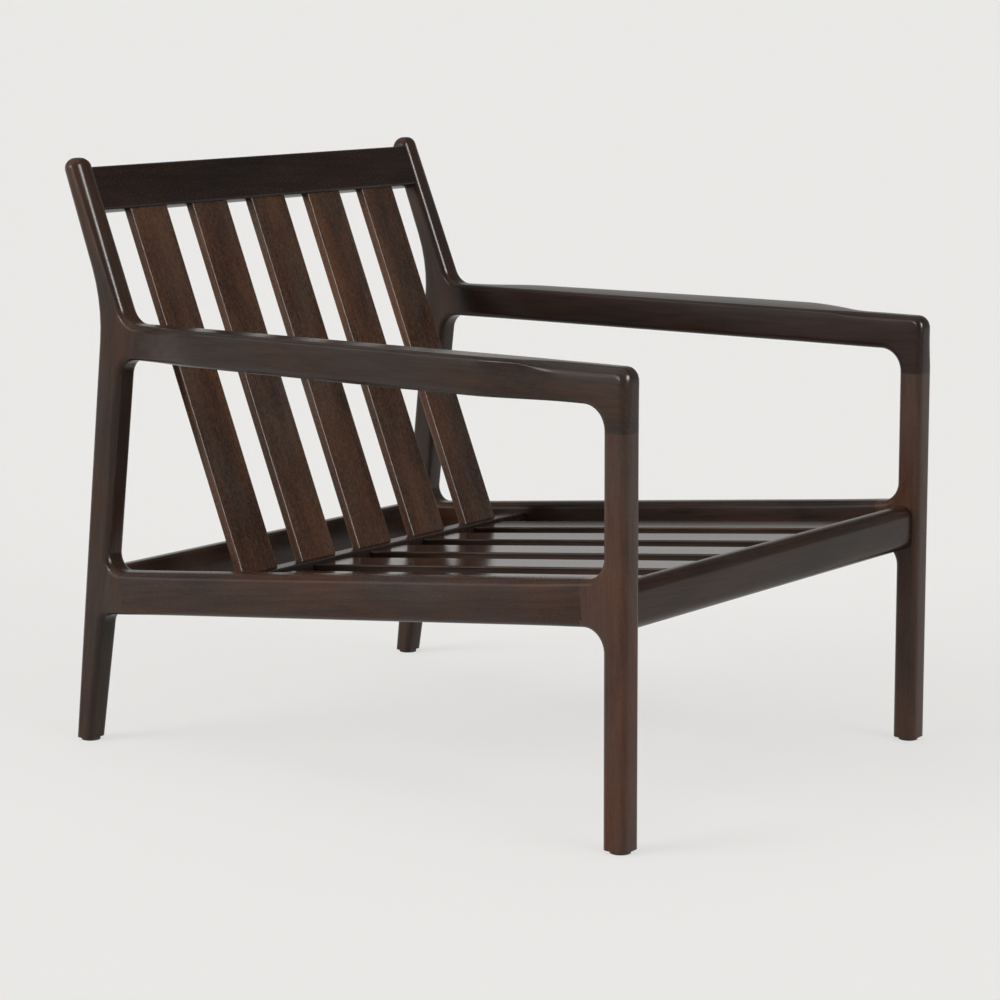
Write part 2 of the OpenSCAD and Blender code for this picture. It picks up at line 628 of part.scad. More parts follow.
// Two screws through a cleat into each end of a seat slat
front_cleat_u = seat_slat_u0 + cleat_d / 2 + CLEAT_SHIFT;
rear_cleat_u = low_rail_u0 - cleat_d / 2;
module slat_screws(i, cut = 0) on_seat()
    for (u = [front_cleat_u, rear_cleat_u], e = [-1, 1])
        translate([seat_slat_x(i) + e * seat_slat_w / 4, u, -seat_slat_t - cleat_h])
        screw(cleat_h + SLAT_SCREW_BITE, cut);

// The cleats are set a hair inside the side frames; the front one is cut square to the front rail
module cleat(from_u, to_u) difference() {
    on_seat() translate([0, from_u, -seat_slat_t - cleat_h])
        translate([-clear_w / 2 + SLAT_GAP / 2, 0, 0]) rotate([90, 0, 90])
        linear_extrude(clear_w - SLAT_GAP)
        polygon(round_rect([0, 0], [to_u - from_u, cleat_h], CLEAT_R));
    for (i = [1:SEAT_SLATS]) slat_screws(i, fit);
}

module front_cleat() color(WOOD_INNER) difference() {
    cleat(front_cleat_u - cleat_d / 2 - CLEAT_SPARE, front_cleat_u + cleat_d / 2);
    in_place() translate([-clear_w / 2 - PAST, front_rail_back - PAST, 0])
        cube([clear_w + 2 * PAST, PAST, seat_h]);
    front_cleat_screws(fit);
}

module rear_cleat() color(WOOD_INNER) difference() {
    cleat(rear_cleat_u - cleat_d / 2, rear_cleat_u + cleat_d / 2);
    rear_cleat_screws(fit);
}

// Screws along each cleat, between the seat slats
function cleat_screw_x(k) = (k - SEAT_SLATS / 2) * seat_pitch;
cleat_mid_w = -seat_slat_t - cleat_h / 2;
front_cleat_end = seat_o + seat_fall * (front_cleat_u + cleat_d / 2) + seat_up * cleat_mid_w;
front_screw_y = front_cleat_end[0] - FRONT_HEAD_INSET;
module front_cleat_screws(cut = 0) for (k = [1:SEAT_SLATS - 1])
    in_place() translate([cleat_screw_x(k), front_screw_y, front_cleat_end[1]])
    rotate([90, 0, 0]) screw(front_screw_y - front_rail_back + CLEAT_SCREW_BITE, cut);
module rear_cleat_screws(cut = 0) for (k = [1:SEAT_SLATS - 1])
    on_seat() translate([cleat_screw_x(k), low_rail_u0 - cleat_d + CLEAT_HEAD_INSET, cleat_mid_w])
    rotate([-90, 0, 0]) screw(cleat_d + CLEAT_SCREW_BITE, cut);

module glide(s, place) color(BLACK) glide_at(s, place) difference() {
    cylinder(d = glide_dia, h = glide_h, $fn = 48);
    glide_screw(fit);
}

module arm_rear_tenons() color(WOOD_INNER) for (s = SIDES) side(s) arm_rear_tenon();
module arm_front_tenons() color(WOOD_INNER) for (s = SIDES) side(s) arm_front_tenon();
module side_rail_front_tenons() color(WOOD_INNER) for (s = SIDES) side(s) side_front_tenon();
module side_rail_rear_tenons() color(WOOD_INNER) for (s = SIDES) side(s) side_rear_tenon();
module front_rail_tenons() color(WOOD_INNER) for (s = SIDES) front_rail_tenon(s);
module rear_rail_tenons() color(WOOD_INNER) for (s = SIDES) rear_rail_tenon(s);
module top_rail_tenons() color(WOOD_INNER) for (s = SIDES) top_rail_tenon(s);
module lower_rail_tenons() color(WOOD_INNER) for (s = SIDES) low_rail_tenon(s);
module seat_slat_screws() color(STEEL) for (i = [1:SEAT_SLATS]) slat_screws(i);
module cleat_screws() color(STEEL) {
    front_cleat_screws();
    rear_cleat_screws();
}
module glide_screws() color(STEEL)
    for (s = SIDES, place = [front_glide_y, rear_glide_y]) glide_at(s, place) glide_screw();

rear_leg(-1);  // right_rear_leg
rear_leg(1);  // left_rear_leg
front_leg(-1);  // right_front_leg
front_leg(1);  // left_front_leg
armrest(-1);  // right_armrest
armrest(1);  // left_armrest
side_rail(-1);  // right_side_rail
side_rail(1);  // left_side_rail
front_rail();
rear_rail();
top_rail();
lower_back_rail();
for (i = [1:BACK_SLATS])
    back_slat(i);
for (i = [1:SEAT_SLATS])
    seat_slat(i);
front_cleat();
rear_cleat();
glide(-1, front_glide_y);  // right_front_glide
glide(1, front_glide_y);  // left_front_glide
glide(-1, rear_glide_y);  // right_rear_glide
glide(1, rear_glide_y);  // left_rear_glide
arm_rear_tenons();
arm_front_tenons();
side_rail_front_tenons();
side_rail_rear_tenons();
front_rail_tenons();
rear_rail_tenons();
top_rail_tenons();
lower_rail_tenons();
seat_slat_screws();
cleat_screws();
glide_screws();
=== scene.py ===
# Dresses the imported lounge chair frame: finer shapes, stained wood, a pale studio and the camera.
# Shapes are in millimetres in a side view whose y starts at the front of the front foot, as in
# the part's source, and row() turns them into metres in the shared frame. Sizes in small letters
# and SLAT_GAP are the part's own, named as in its source. Other values in capitals belong to this
# scene.
import math
import bpy
from mathutils import Matrix, Vector


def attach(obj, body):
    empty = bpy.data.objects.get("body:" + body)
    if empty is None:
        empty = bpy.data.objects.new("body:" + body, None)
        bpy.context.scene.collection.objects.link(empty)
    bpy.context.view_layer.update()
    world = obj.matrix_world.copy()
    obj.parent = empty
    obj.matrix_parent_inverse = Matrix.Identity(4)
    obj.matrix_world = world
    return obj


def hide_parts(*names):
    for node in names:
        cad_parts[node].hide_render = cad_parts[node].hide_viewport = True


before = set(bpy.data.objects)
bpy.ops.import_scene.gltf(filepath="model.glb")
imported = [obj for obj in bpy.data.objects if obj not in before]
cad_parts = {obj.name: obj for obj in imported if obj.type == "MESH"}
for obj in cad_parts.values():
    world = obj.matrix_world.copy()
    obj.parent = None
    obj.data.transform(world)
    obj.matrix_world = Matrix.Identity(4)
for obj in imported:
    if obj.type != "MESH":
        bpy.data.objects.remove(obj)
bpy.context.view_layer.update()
MM = 0.001

# Overall sizes
clear_w = 638
overall_h = 771
foot_span = 890
post_inset = 108
arm_h = 569.5
seat_h = 325.5

# Angles in degrees
back_lean = 22.2
seat_slope = 6.4
arm_slope = 0.5
front_rake = 0.5
rear_rake = 5.95
post_taper = 1.1

# Side frames
member_t = 34
edge_r = 8
front_leg_d = 32.5
rear_foot_d = 26
rear_low_d = 35.5
rear_mid_d = 38
rear_top_d = 41.5
post_d = 27.5
tip_edge_r = 12
knee_r = 200
side_rail_h = 57
front_fillet = 27
rear_fillet = 20
foot_fillet = 17
knuckle_run = 5
# Rounding of the posts' outer edges above the armrests, and share of a half circle at their tips
POST_OUTER_R = 13
TIP_ROUND = 0.97

# Armrests
arm_d = 46
arm_swell = 27
arm_swell_rear = 15
swell_start = 84
swell_front_l = 125
swell_rear_l = 110
arm_corner_r = 15
arm_fillet = 30
post_fillet = 28
window_fillet = 24
arm_seam = 26
swell_top_r = 5
swell_bottom_r = 15
arm_inner_r = 4
arm_lift = 3.5
# Rounding of the top outer edge where the armrest doesn't swell
ARM_FRONT_R = 13
# How soon the top edges change their rounding over the swell, and the bulge fades at the corner
EDGE_PACE = 2
CORNER_PACE = 2

# Cross rails
front_rail_h = 58
rail_t = 24
front_rail_drop = 8
front_rail_setback = 8
rear_rail_h = 50
rear_rail_rise = 4.5
rear_rail_setback = 3
top_rail_h = 60
top_rail_t = 22
top_rail_setback = 2
horn_h = 15
housing = 3
low_rail_d = 36
low_rail_h = 36
low_rail_rise = 5
low_rail_lap = 14
# Edge rounding: front bottom, rear bottom, rear top, front top
FRONT_RAIL_R = (14, 3, 3, 13)
TOP_RAIL_R = (3, 3, 3, 3)
REAR_RAIL_R = (4, 4, 4, 4)
LOW_RAIL_R = (2, 2, 2, 2)

# Slats and feet
SLATS = 5
back_slat_w = 69.5
back_side_gap = 49
back_slat_t = 12
slat_setback = 7
slat_tenon = 12
seat_slat_w = 63
seat_side_gap = 56.5
seat_slat_t = 14
seat_recess = 19
slat_r = 2
SLAT_GAP = 1
glide_h = 4

# Steps of the finer meshes: over a rounded edge, between two edges, and degrees of turn for one
# step of an arc
EDGE_STEPS = 7
SLAT_EDGE_STEPS = 4
SIDE_STEPS = 6
ARC_STEP = 5
ARC_STEPS_MIN = 3
ARM_STATIONS = 90
FAN_STATIONS = 28
CROWN_STATIONS = 16
SMOOTH_ANGLE = 35

# How far the faces bulge between their edges: across the thickness, over the side rails' tops,
# over the broad sides and over the swollen armrests, and the length over which a bulge starts
THIN_CROWN = 0.8
RAIL_TOP_CROWN = 2.6
BROAD_CROWN = 1.3
ARM_CROWN = 1.4
CROWN_FADE = 70

# An edge rounder than this gets no lightened arris, which is rubbed lacquer and a painted highlight.
# Points closer than
# NO_LENGTH, in metres, and steps that differ by more than UNEVEN times say nothing about an edge.
ARRIS_RADIUS = 9
NO_LENGTH = 1e-7
UNEVEN = 2.5

# The least turn, in radians, and the least slope to divide by
NO_TURN = 1e-4
NO_SLOPE = 1e-6

# Each board's place in the tree, so that no two boards show the same grain. A side frame's
# board on the right takes the number below, and on the left the number above.
SEED = {
    "rear_leg": 1,
    "front_leg": 5,
    "armrest": 9,
    "side_rail": 13,
    "front_rail": 16,
    "rear_rail": 17,
    "top_rail": 18,
    "lower_back_rail": 19,
    "back_slat": 20,
    "seat_slat": 30,
}
SEED_STEP = (0.37, 0.53, 0.71)


def sin(angle):
    return math.sin(math.radians(angle))


def cos(angle):
    return math.cos(math.radians(angle))


def tan(angle):
    return math.tan(math.radians(angle))


# Side view helpers: a point is Vector((y, z)) and a line is (point, direction)
def cross2(a, b):
    return a.x * b.y - a.y * b.x


def meet(a, b):
    return a[0] + a[1] * (cross2(b[0] - a[0], b[1]) / cross2(a[1], b[1]))


def at_height(line, z):
    return meet(line, (Vector((0, z)), Vector((1, 0))))


def at_place(line, y):
    return meet(line, (Vector((y, 0)), Vector((0, 1))))


def shift(line, v):
    return line[0] + v, line[1]


def mix(a, b, t):
    return a + (b - a) * t


def smooth(t):
    """Goes from 0 to 1 with a soft start and end as t does."""
    c = max(0, min(1, t))
    return c * c * (3 - 2 * c)


# Lines of the side view
arm_l = foot_span - post_inset
back_pitch = (clear_w - 2 * back_side_gap - back_slat_w) / (SLATS - 1)
seat_pitch = (clear_w - 2 * seat_side_gap - seat_slat_w) / (SLATS - 1)
foot_z = glide_h
leg_up = Vector((tan(front_rake), 1))
front_leg_front = (Vector((0, foot_z)), leg_up)
front_leg_back = (Vector((front_leg_d, foot_z)), leg_up)
arm_fall = Vector((cos(arm_slope), -sin(arm_slope)))
seat_fall = Vector((cos(seat_slope), -sin(seat_slope)))
seat_up = Vector((sin(seat_slope), cos(seat_slope)))
foot_axis = front_leg_d / 2
leg_seam_z = arm_h - arm_d - arm_fillet
arm_front_y = at_height(front_leg_front, leg_seam_z).x
arm_top = (Vector((arm_front_y, arm_h)), arm_fall)
rail_top = (Vector((foot_axis, seat_h)), seat_fall)
rail_under = shift(rail_top, -side_rail_h * seat_up)
rear_leg_back = (Vector((foot_span, foot_z)), Vector((-sin(rear_rake), cos(rear_rake))))
back_up = Vector((sin(back_lean), cos(back_lean)))
back_out = Vector((cos(back_lean), -sin(back_lean)))
post_root = arm_top[0] + arm_fall * arm_l / cos(arm_slope)

# Places along the back post, from the armrest's top upwards
horn_r = post_d / 2
horn_s = (overall_h - horn_r - post_root.y + horn_r * sin(back_lean)) / cos(back_lean)
horn_end = horn_s + horn_r
post_tip = post_root + back_up * horn_end
post_tip_back = post_tip + back_out * post_d
post_back = (post_tip_back, Vector((sin(back_lean - post_taper), cos(back_lean - post_taper))))
knee = meet(rear_leg_back, post_back)
overall_d = max(foot_span, (post_root + back_up * horn_s + back_out * horn_r).x + horn_r)
y_mid = overall_d / 2
member_x = (clear_w + member_t) / 2


def rear_front(z, d):
    """The point at height z that lies a depth d in front of the rear leg's back."""
    return at_height(rear_leg_back, z) - Vector((d, 0))


# The rear leg's front line, above and below the side rail
window_top = rear_front(post_root.y - arm_d, rear_top_d)
rail_z_back = meet(rail_top, rear_leg_back).y
window_low = rear_front(rail_z_back, rear_mid_d)
under_rail = rear_front(rail_z_back - side_rail_h, rear_low_d)
foot_front = rear_front(foot_z, rear_foot_d)
rear_leg_front = (window_low, window_top - window_low)
rear_foot_front = (foot_front, under_rail - foot_front)

# Seams between the pieces of a side frame
arm_seam_y = post_root.x - arm_seam
arm_seam_z = at_place(arm_top, arm_seam_y).y
front_seam_top = meet(rail_top, front_leg_back) + seat_fall * (front_fillet + knuckle_run)
front_seam_low = front_seam_top - seat_up * side_rail_h
rear_run = max(rear_fillet, foot_fillet) + knuckle_run
rear_seam_top = meet(rail_top, rear_leg_front) - seat_fall * rear_run
rear_seam_low = rear_seam_top - seat_up * side_rail_h
side_rail_l = (rear_seam_top - front_seam_top).length

# Seat and back planes, and what lies in them
seat_o = rail_top[0] - seat_up * seat_recess
seat_plane = (seat_o, seat_fall)
slat_plane = (post_root + back_out * slat_setback, back_up)
low_rail_u0 = (meet(seat_plane, slat_plane) - seat_o).length - low_rail_lap
front_rail_top = seat_h - front_rail_drop
front_rail_y = at_height(front_leg_front, front_rail_top - front_rail_h / 2).x + front_rail_setback
seat_slat_u0 = (front_rail_y + rail_t + SLAT_GAP - seat_o.x) / cos(seat_slope)
seat_slat_u1 = low_rail_u0 - SLAT_GAP
top_rail_s0 = horn_end - horn_h - top_rail_h
low_rail_top = shift(seat_plane, seat_up * low_rail_rise)
back_slat_s0 = -(meet(low_rail_top, slat_plane) - slat_plane[0]).length - slat_tenon
back_slat_s1 = top_rail_s0 + slat_tenon
rear_rail_top = shift(rail_top, seat_up * rear_rail_rise)
rear_rail_o = meet(rear_rail_top, rear_leg_front) + seat_fall * rear_rail_setback


def row(x, p):
    """A point of the side view p at x across, in metres in the shared frame."""
    return Vector((x, p[0] - y_mid, p[1])) * MM


# Meshes
def arc_points(corner, before, after):
    """A corner (y, z, radius) of an outline as [(point, direction out of the wood)]. A corner
    (y, z, 0, "cut starts") or "cut ends" is an end of a straight cut, where no edge is rounded."""
    p = Vector(corner[:2])
    back = (Vector(before[:2]) - p).normalized()
    on = (Vector(after[:2]) - p).normalized()
    kind = corner[3] if len(corner) > 3 else "round"
    if kind == "cut starts":
        n, s = Vector((-back.y, back.x)), -on
        return [(p, s / s.dot(n))]
    if kind == "cut ends":
        n, s = Vector((on.y, -on.x)), -back
        return [(p, s / s.dot(n))]
    radius = corner[2]
    half = math.acos(max(-1, min(1, back.dot(on)))) / 2
    convex = cross2(-back, on) > 0
    centre = p + (back + on).normalized() * (radius / math.sin(half))
    first = (p + back * (radius / math.tan(half)) - centre).normalized()
    turn = math.pi - 2 * half
    steps = max(ARC_STEPS_MIN, round(math.degrees(turn) / ARC_STEP))
    points = []
    for k in range(steps + 1):
        d = first.copy()
        d.rotate(Matrix.Rotation((1 if convex else -1) * turn * k / steps, 2))
        points.append((centre + d * radius, d if convex else -d))
    return points


def outline(corners):
    n = len(corners)
    points = []
    for i in range(n):
        points += arc_points(corners[i], corners[i - 1], corners[(i + 1) % n])
    return points


def round_rect(a, b, radii, steps=EDGE_STEPS, crown=(0, 0)):
    """Points of a rectangle from a to b with its own radius at each corner, anticlockwise. Its
    upright sides bulge by crown[0] and its level ones by crown[1], inside the rectangle."""
    spots = ((a[0], a[1], 1, 1), (b[0], a[1], -1, 1), (b[0], b[1], -1, -1), (a[0], b[1], 1, -1))
    corners = []
    for i, (x, y, sx, sy) in enumerate(spots):
        corner = []
        for k in range(steps + 1):
            t = 180 + 90 * (i + k / steps)
            corner.append(Vector((x + radii[i] * (sx + cos(t)), y + radii[i] * (sy + sin(t)))))
        corners.append(corner)
    points = []
    for i, corner in enumerate(corners):
        points += corner
        start, end = corner[-1], corners[(i + 1) % 4][0]
        points += [mix(start, end, k / SIDE_STEPS) for k in range(1, SIDE_STEPS)]
    middle = Vector(((a[0] + b[0]) / 2, (a[1] + b[1]) / 2))
    half = Vector(((b[0] - a[0]) / 2, (b[1] - a[1]) / 2))
    bulged = []
    for p in points:
        u, v = (p.x - middle.x) / half.x, (p.y - middle.y) / half.y
        bulged.append((p.x - crown[0] * u * v * v, p.y - crown[1] * v * u * u))
    return bulged


def skin(name, rings, grain, material, node, seed):
    """A closed piece over rings of points in metres. grain gives each point's place in the
    board, in metres: across, through its thickness and along the fibres."""
    n = len(rings[0])
    verts = [v for ring in rings for v in ring]
    faces = [tuple(range(n)), tuple((len(rings) - 1) * n + i for i in reversed(range(n)))]
    for j in range(len(rings) - 1):
        for i in range(n):
            a, b = j * n + i, j * n + (i + 1) % n
            faces.append((a, a + n, b + n, b))
    mesh = bpy.data.meshes.new(name)
    mesh.from_pydata(verts, [], faces)
    if signed_volume(verts, faces) < 0:
        mesh.flip_normals()
    mesh.shade_smooth()
    mesh.set_sharp_from_angle(angle=math.radians(SMOOTH_ANGLE))
    # The first attribute is filled before the second is made, because making one can move the other
    offset = Vector([seed * step for step in SEED_STEP])
    places = mesh.attributes.new("grain", "FLOAT_VECTOR", "POINT")
    for i, v in enumerate(verts):
        places.data[i].vector = Vector(grain(v)) + offset
    # How sharp each point's edge is; the wood lightens the sharp ones with rubbed lacquer and a painted
    # highlight
    arris = mesh.attributes.new("arris", "FLOAT", "POINT")
    for i in range(len(verts)):
        arris.data[i].value = max(bend(rings, i // n, i % n, 0, 1), bend(rings, i // n, i % n, 1, 0))
    piece = bpy.data.objects.new(name, mesh)
    bpy.context.scene.collection.objects.link(piece)
    even = piece.modifiers.new("even shading", "WEIGHTED_NORMAL")
    even.keep_sharp = True
    piece.data.materials.append(material)
    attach(piece, "root")
    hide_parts(node)
    return piece


def bend(rings, j, i, dj, di):
    """How tightly the skin bends at point i of ring j, on the way to ring j + dj or point i + di:
    from 0 on a flat to 1 on a sharp arris."""
    if dj and not 0 < j < len(rings) - 1:
        return 0
    here = rings[j][i]
    before = here - rings[j - dj][i - di]
    after = rings[j + dj][(i + di) % len(rings[j])] - here
    short, long = sorted((before.length, after.length))
    if short < NO_LENGTH or long > UNEVEN * short:
        return 0
    radius = (short + long) / 2 / max(before.angle(after), NO_TURN)
    return max(0, 1 - radius / (ARRIS_RADIUS * MM))


def signed_volume(verts, faces):
    """Six times the volume inside the faces, below 0 where they face inwards."""
    total = 0
    for face in faces:
        for i in range(1, len(face) - 1):
            total += verts[face[0]].dot(verts[face[i]].cross(verts[face[i + 1]]))
    return total


def bar_rings(section, length, place):
    """Rings for a straight bar: place(u, v, w) is where section point (u, v) lies at w."""
    return [[place(u, v, w) for u, v in section] for w in (0, length)]


# Materials
class Net:
    """Writes a material's nodes: every call gives the socket that it makes."""

    def __init__(self, material):
        self.nodes = material.node_tree.nodes
        self.links = material.node_tree.links
        self.shader = self.nodes.get("Principled BSDF")

    def add(self, kind, out, values, **settings):
        made = self.nodes.new(kind)
        for key, value in settings.items():
            setattr(made, key, value)
        for key, value in values.items():
            self.put(made.inputs[key], value)
        return made.outputs[out]

    def put(self, socket, value):
        if isinstance(value, bpy.types.NodeSocket):
            self.links.new(value, socket)
        else:
            socket.default_value = value

    def math(self, operation, a, b=0.0, c=0.0):
        return self.add("ShaderNodeMath", 0, {0: a, 1: b, 2: c}, operation=operation)

    def scaled(self, vector, scale):
        return self.add("ShaderNodeVectorMath", 0, {0: vector, 1: scale}, operation="MULTIPLY")

    def noise(self, vector, detail=2.0, rough=0.5):
        values = {"Vector": vector, "Scale": 1.0, "Detail": detail, "Roughness": rough}
        return self.add("ShaderNodeTexNoise", 0, values)

    def range(self, value, low, high, to_low=0.0, to_high=1.0):
        values = {"Value": value, "From Min": low, "From Max": high, "To Min": to_low, "To Max": to_high}
        return self.add("ShaderNodeMapRange", 0, values)

    def blend(self, factor, a, b, kind="MIX"):
        values = {0: factor, 6: a, 7: b}
        return self.add("ShaderNodeMix", 2, values, data_type="RGBA", blend_type=kind)

    def varied(self, value, noise, weight):
        """value, moved up and down by a noise that goes from 0 to 1."""
        return self.math("MULTIPLY_ADD", self.math("SUBTRACT", noise, 0.5), weight, value)


def new_material(name):
    material = bpy.data.materials.new(name)
    material.use_nodes = True
    return material


# How fine each noise is, in waves per metre: across the board, through it and along it
DRIFT_WAVES = (9, 9, 1.7)
WARP_WAVES = (28, 28, 2.6)
FIBRE_WAVES = (330, 330, 22)
PORE_WAVES = (900, 900, 240)
PATCH_WAVES = (26, 26, 8)
HUE_WAVES = (17, 17, 5.3)

# Growth rings: distance of the tree's heart from the board in metres, its slant along the board,
# how far the noises bend the rings in metres, and radians of a wave per metre
HEART_AWAY = 0.11
HEART_SLANT = 0.035
WARP_DEPTH = 0.03
DRIFT_DEPTH = 0.05
RING_WAVES = 820.0

# Share of each pattern in the tone between the wood's dark and light
RING_SHARE = 0.08
PATCH_SHARE = 1.3
FIBRE_SHARE = 0.9
PORE_SHARE = 1.5

# Noise values between which most of a noise lies, for gentle changes and for clear ones
GENTLE = (0.3, 0.7)
CLEAR = (0.35, 0.65)

# Tints of the stain, colour of the lightened arrises from the light tone (rubbed lacquer and a painted
# highlight), and the least lightening
GREY_TINT = (0.86, 1.05, 1.14, 1)
ORANGE_TINT = (1.16, 0.98, 0.78, 1)
RUBBED_SHEEN_GAIN = 1.2
RUBBED_SHEEN_LIFT = 0.07
RUBBED_SHEEN_LEAST = 0.4

# The lacquer over the pores: change of roughness, strength of the bump, its depth in metres and
# the fibres' share in it
PORE_GLOSS = 0.10
BUMP_STRENGTH = 0.25
BUMP_DEPTH = 0.00009
FIBRE_BUMP = 0.5


def growth_rings(net, grain, drift):
    """Waves of the growth rings round a heart outside the board, bent by slow noise."""
    warp = net.noise(net.scaled(grain, WARP_WAVES), detail=3.0)
    apart = net.add("ShaderNodeSeparateXYZ", 0, {"Vector": grain})
    xyz = apart.node.outputs
    across = net.math("MULTIPLY_ADD", warp, WARP_DEPTH, xyz[0])
    deep = net.math("MULTIPLY_ADD", xyz[2], HEART_SLANT, net.math("ADD", xyz[1], HEART_AWAY))
    square = net.math("ADD", net.math("MULTIPLY", across, across), net.math("MULTIPLY", deep, deep))
    radius = net.math("MULTIPLY_ADD", drift, DRIFT_DEPTH, net.math("SQRT", square))
    return net.math("SINE", net.math("MULTIPLY", radius, RING_WAVES))


def wood(name, dark, light, rough=0.27, figure=1.0, fibres=1.0, mottle=1.0, specks=1.0,
         wear_and_sheen=0.4, ior=1.31, source="grain"):
    """Stained, lacquered wood. dark and light are the two ends of its colour. figure, fibres,
    mottle and specks say how much shows of its growth rings, its fibres, the patches where the stain
    took more and its pores. The argument after specks says how much its arrises are lightened:
    partly lacquer rubbed thin, partly a painted highlight for the shine on its rounded edges."""
    material = new_material(name)
    net = Net(material)
    if source == "grain":
        grain = net.add("ShaderNodeAttribute", "Vector", {}, attribute_name="grain")
    else:
        grain = net.add("ShaderNodeTexCoord", "Object", {})
    drift = net.noise(net.scaled(grain, DRIFT_WAVES))
    rings = growth_rings(net, grain, drift)
    fibre = net.noise(net.scaled(grain, FIBRE_WAVES), detail=4.0, rough=0.62)
    pore = net.noise(net.scaled(grain, PORE_WAVES), rough=0.7)
    patch = net.noise(net.scaled(grain, PATCH_WAVES))
    hue = net.noise(net.scaled(grain, HUE_WAVES))

    tone = net.math("MULTIPLY_ADD", rings, RING_SHARE * figure, net.range(drift, *GENTLE, *GENTLE))
    tone = net.varied(tone, patch, PATCH_SHARE * mottle)
    tone = net.varied(tone, fibre, FIBRE_SHARE * fibres)
    tone = net.varied(tone, pore, PORE_SHARE * specks)
    tone = net.add("ShaderNodeClamp", 0, {"Value": tone})
    colour = net.blend(tone, (*dark, 1), (*light, 1))
    # The stain leans to orange in some patches and to grey in others
    tint = net.blend(net.range(hue, *CLEAR), GREY_TINT, ORANGE_TINT)
    colour = net.blend(1.0, colour, tint, "MULTIPLY")
    # The arrises are lightened, more so in some places than in others: partly lacquer rubbed thin, partly
    # a painted highlight for the shine on the rounded edges
    arris = net.add("ShaderNodeAttribute", "Fac", {}, attribute_name="arris")
    rubbed_and_sheen = net.math("MULTIPLY", arris, net.range(patch, *CLEAR, RUBBED_SHEEN_LEAST * wear_and_sheen, wear_and_sheen))
    bare_and_sheen = [RUBBED_SHEEN_GAIN * c + RUBBED_SHEEN_LIFT for c in light]
    net.put(net.shader.inputs["Base Color"], net.blend(rubbed_and_sheen, colour, (*bare_and_sheen, 1)))

    net.put(net.shader.inputs["Roughness"], net.varied(rough, pore, PORE_GLOSS * specks))
    height = net.math("MULTIPLY_ADD", fibre, FIBRE_BUMP, net.math("MULTIPLY", pore, specks))
    bump = {"Height": height, "Strength": BUMP_STRENGTH, "Distance": BUMP_DEPTH}
    net.put(net.shader.inputs["Normal"], net.add("ShaderNodeBump", 0, bump))
    net.shader.inputs["IOR"].default_value = ior
    return material


leg_wood = wood(
    "leg_wood", (0.047, 0.0198, 0.0128), (0.120, 0.0570, 0.0388),
    rough=0.24, figure=0.6, specks=0.6, mottle=0.9)
rear_leg_wood = wood(
    "rear_leg_wood", (0.033, 0.0165, 0.0115), (0.080, 0.046, 0.034),
    rough=0.25, figure=0.6, specks=0.4)
# The far rear post's wood is a darker copy of the rear post's: painted shade for the shade that falls on
# the far frame
shaded_far_leg_wood = wood(
    "shaded_far_leg_wood", (0.024, 0.0122, 0.0088), (0.061, 0.0348, 0.0265),
    rough=0.25, figure=0.6, specks=0.4)
arm_wood = wood(
    "arm_wood", (0.0235, 0.0142, 0.0108), (0.061, 0.038, 0.030),
    rough=0.26, fibres=1.3, mottle=0.8, specks=0.2, wear_and_sheen=0.1)
# The far armrest's wood is a darker copy of the armrest's: painted shade for the shade that falls on the
# far frame
shaded_far_arm_wood = wood(
    "shaded_far_arm_wood", (0.0165, 0.0082, 0.0063), (0.045, 0.0226, 0.0173),
    rough=0.28, fibres=1.3, mottle=0.8, specks=0.2, wear_and_sheen=0.1)
rail_wood = wood(
    "rail_wood", (0.035, 0.0185, 0.0135), (0.089, 0.050, 0.037),
    rough=0.27, specks=0.3, mottle=0.8)
# Darker rail wood: the front rail's own darker tone, and on the far side rail painted shade for the shade
# its inner face lies in
dark_and_shaded_rail_wood = wood(
    "dark_and_shaded_rail_wood", (0.013, 0.0065, 0.0045), (0.046, 0.023, 0.015),
    rough=0.26, specks=0.15, mottle=1.5, fibres=1.4)
crest_wood = wood(
    "crest_wood", (0.010, 0.0055, 0.0043), (0.036, 0.0185, 0.0142),
    specks=0.6)
slat_wood = wood(
    "slat_wood", (0.029, 0.0134, 0.0086), (0.135, 0.0680, 0.0420),
    figure=0.5, mottle=0.9, specks=1.1, wear_and_sheen=0.5)
seat_wood = wood(
    "seat_wood", (0.016, 0.0075, 0.005), (0.045, 0.023, 0.015),
    rough=0.17, specks=0.4, ior=1.38)
inner_wood = wood(
    "inner_wood", (0.10, 0.058, 0.034), (0.22, 0.14, 0.088),
    rough=0.55, source="object")

# Plain materials: how much lighter and rougher their speckles are
SPECKLE_GAIN = 1.5
SPECKLE_ROUGH = 0.12


def plain_material(name, colour, rough, metallic=0.0, grains=400):
    material = new_material(name)
    net = Net(material)
    place = net.add("ShaderNodeTexCoord", "Object", {})
    speckle = net.noise(net.scaled(place, (grains, grains, grains)), detail=3.0)
    lighter = [SPECKLE_GAIN * c for c in colour]
    speckled = net.blend(net.range(speckle, *GENTLE), (*colour, 1), (*lighter, 1))
    net.put(net.shader.inputs["Base Color"], speckled)
    net.put(net.shader.inputs["Roughness"], net.range(speckle, *GENTLE, rough, rough + SPECKLE_ROUGH))
    net.shader.inputs["Metallic"].default_value = metallic
    return material


black_plastic = plain_material("black_plastic", (0.010, 0.010, 0.010), 0.5)
zinc = plain_material("zinc", (0.42, 0.42, 0.40), 0.32, metallic=1.0, grains=1500)


# Side frames: s is -1 for the sitter's right and 1 for the left
def arris_radius(p, outer):
    """Radius of a side frame's edges at a place: larger at the post's tip, and on its outer face
    from the armrest upwards."""
    rise = (p - post_root).dot(back_up)
    tip = mix(edge_r, tip_edge_r, smooth((rise - horn_s) / horn_r))
    return max(tip, mix(edge_r, POST_OUTER_R, smooth(rise / horn_s))) if outer else tip


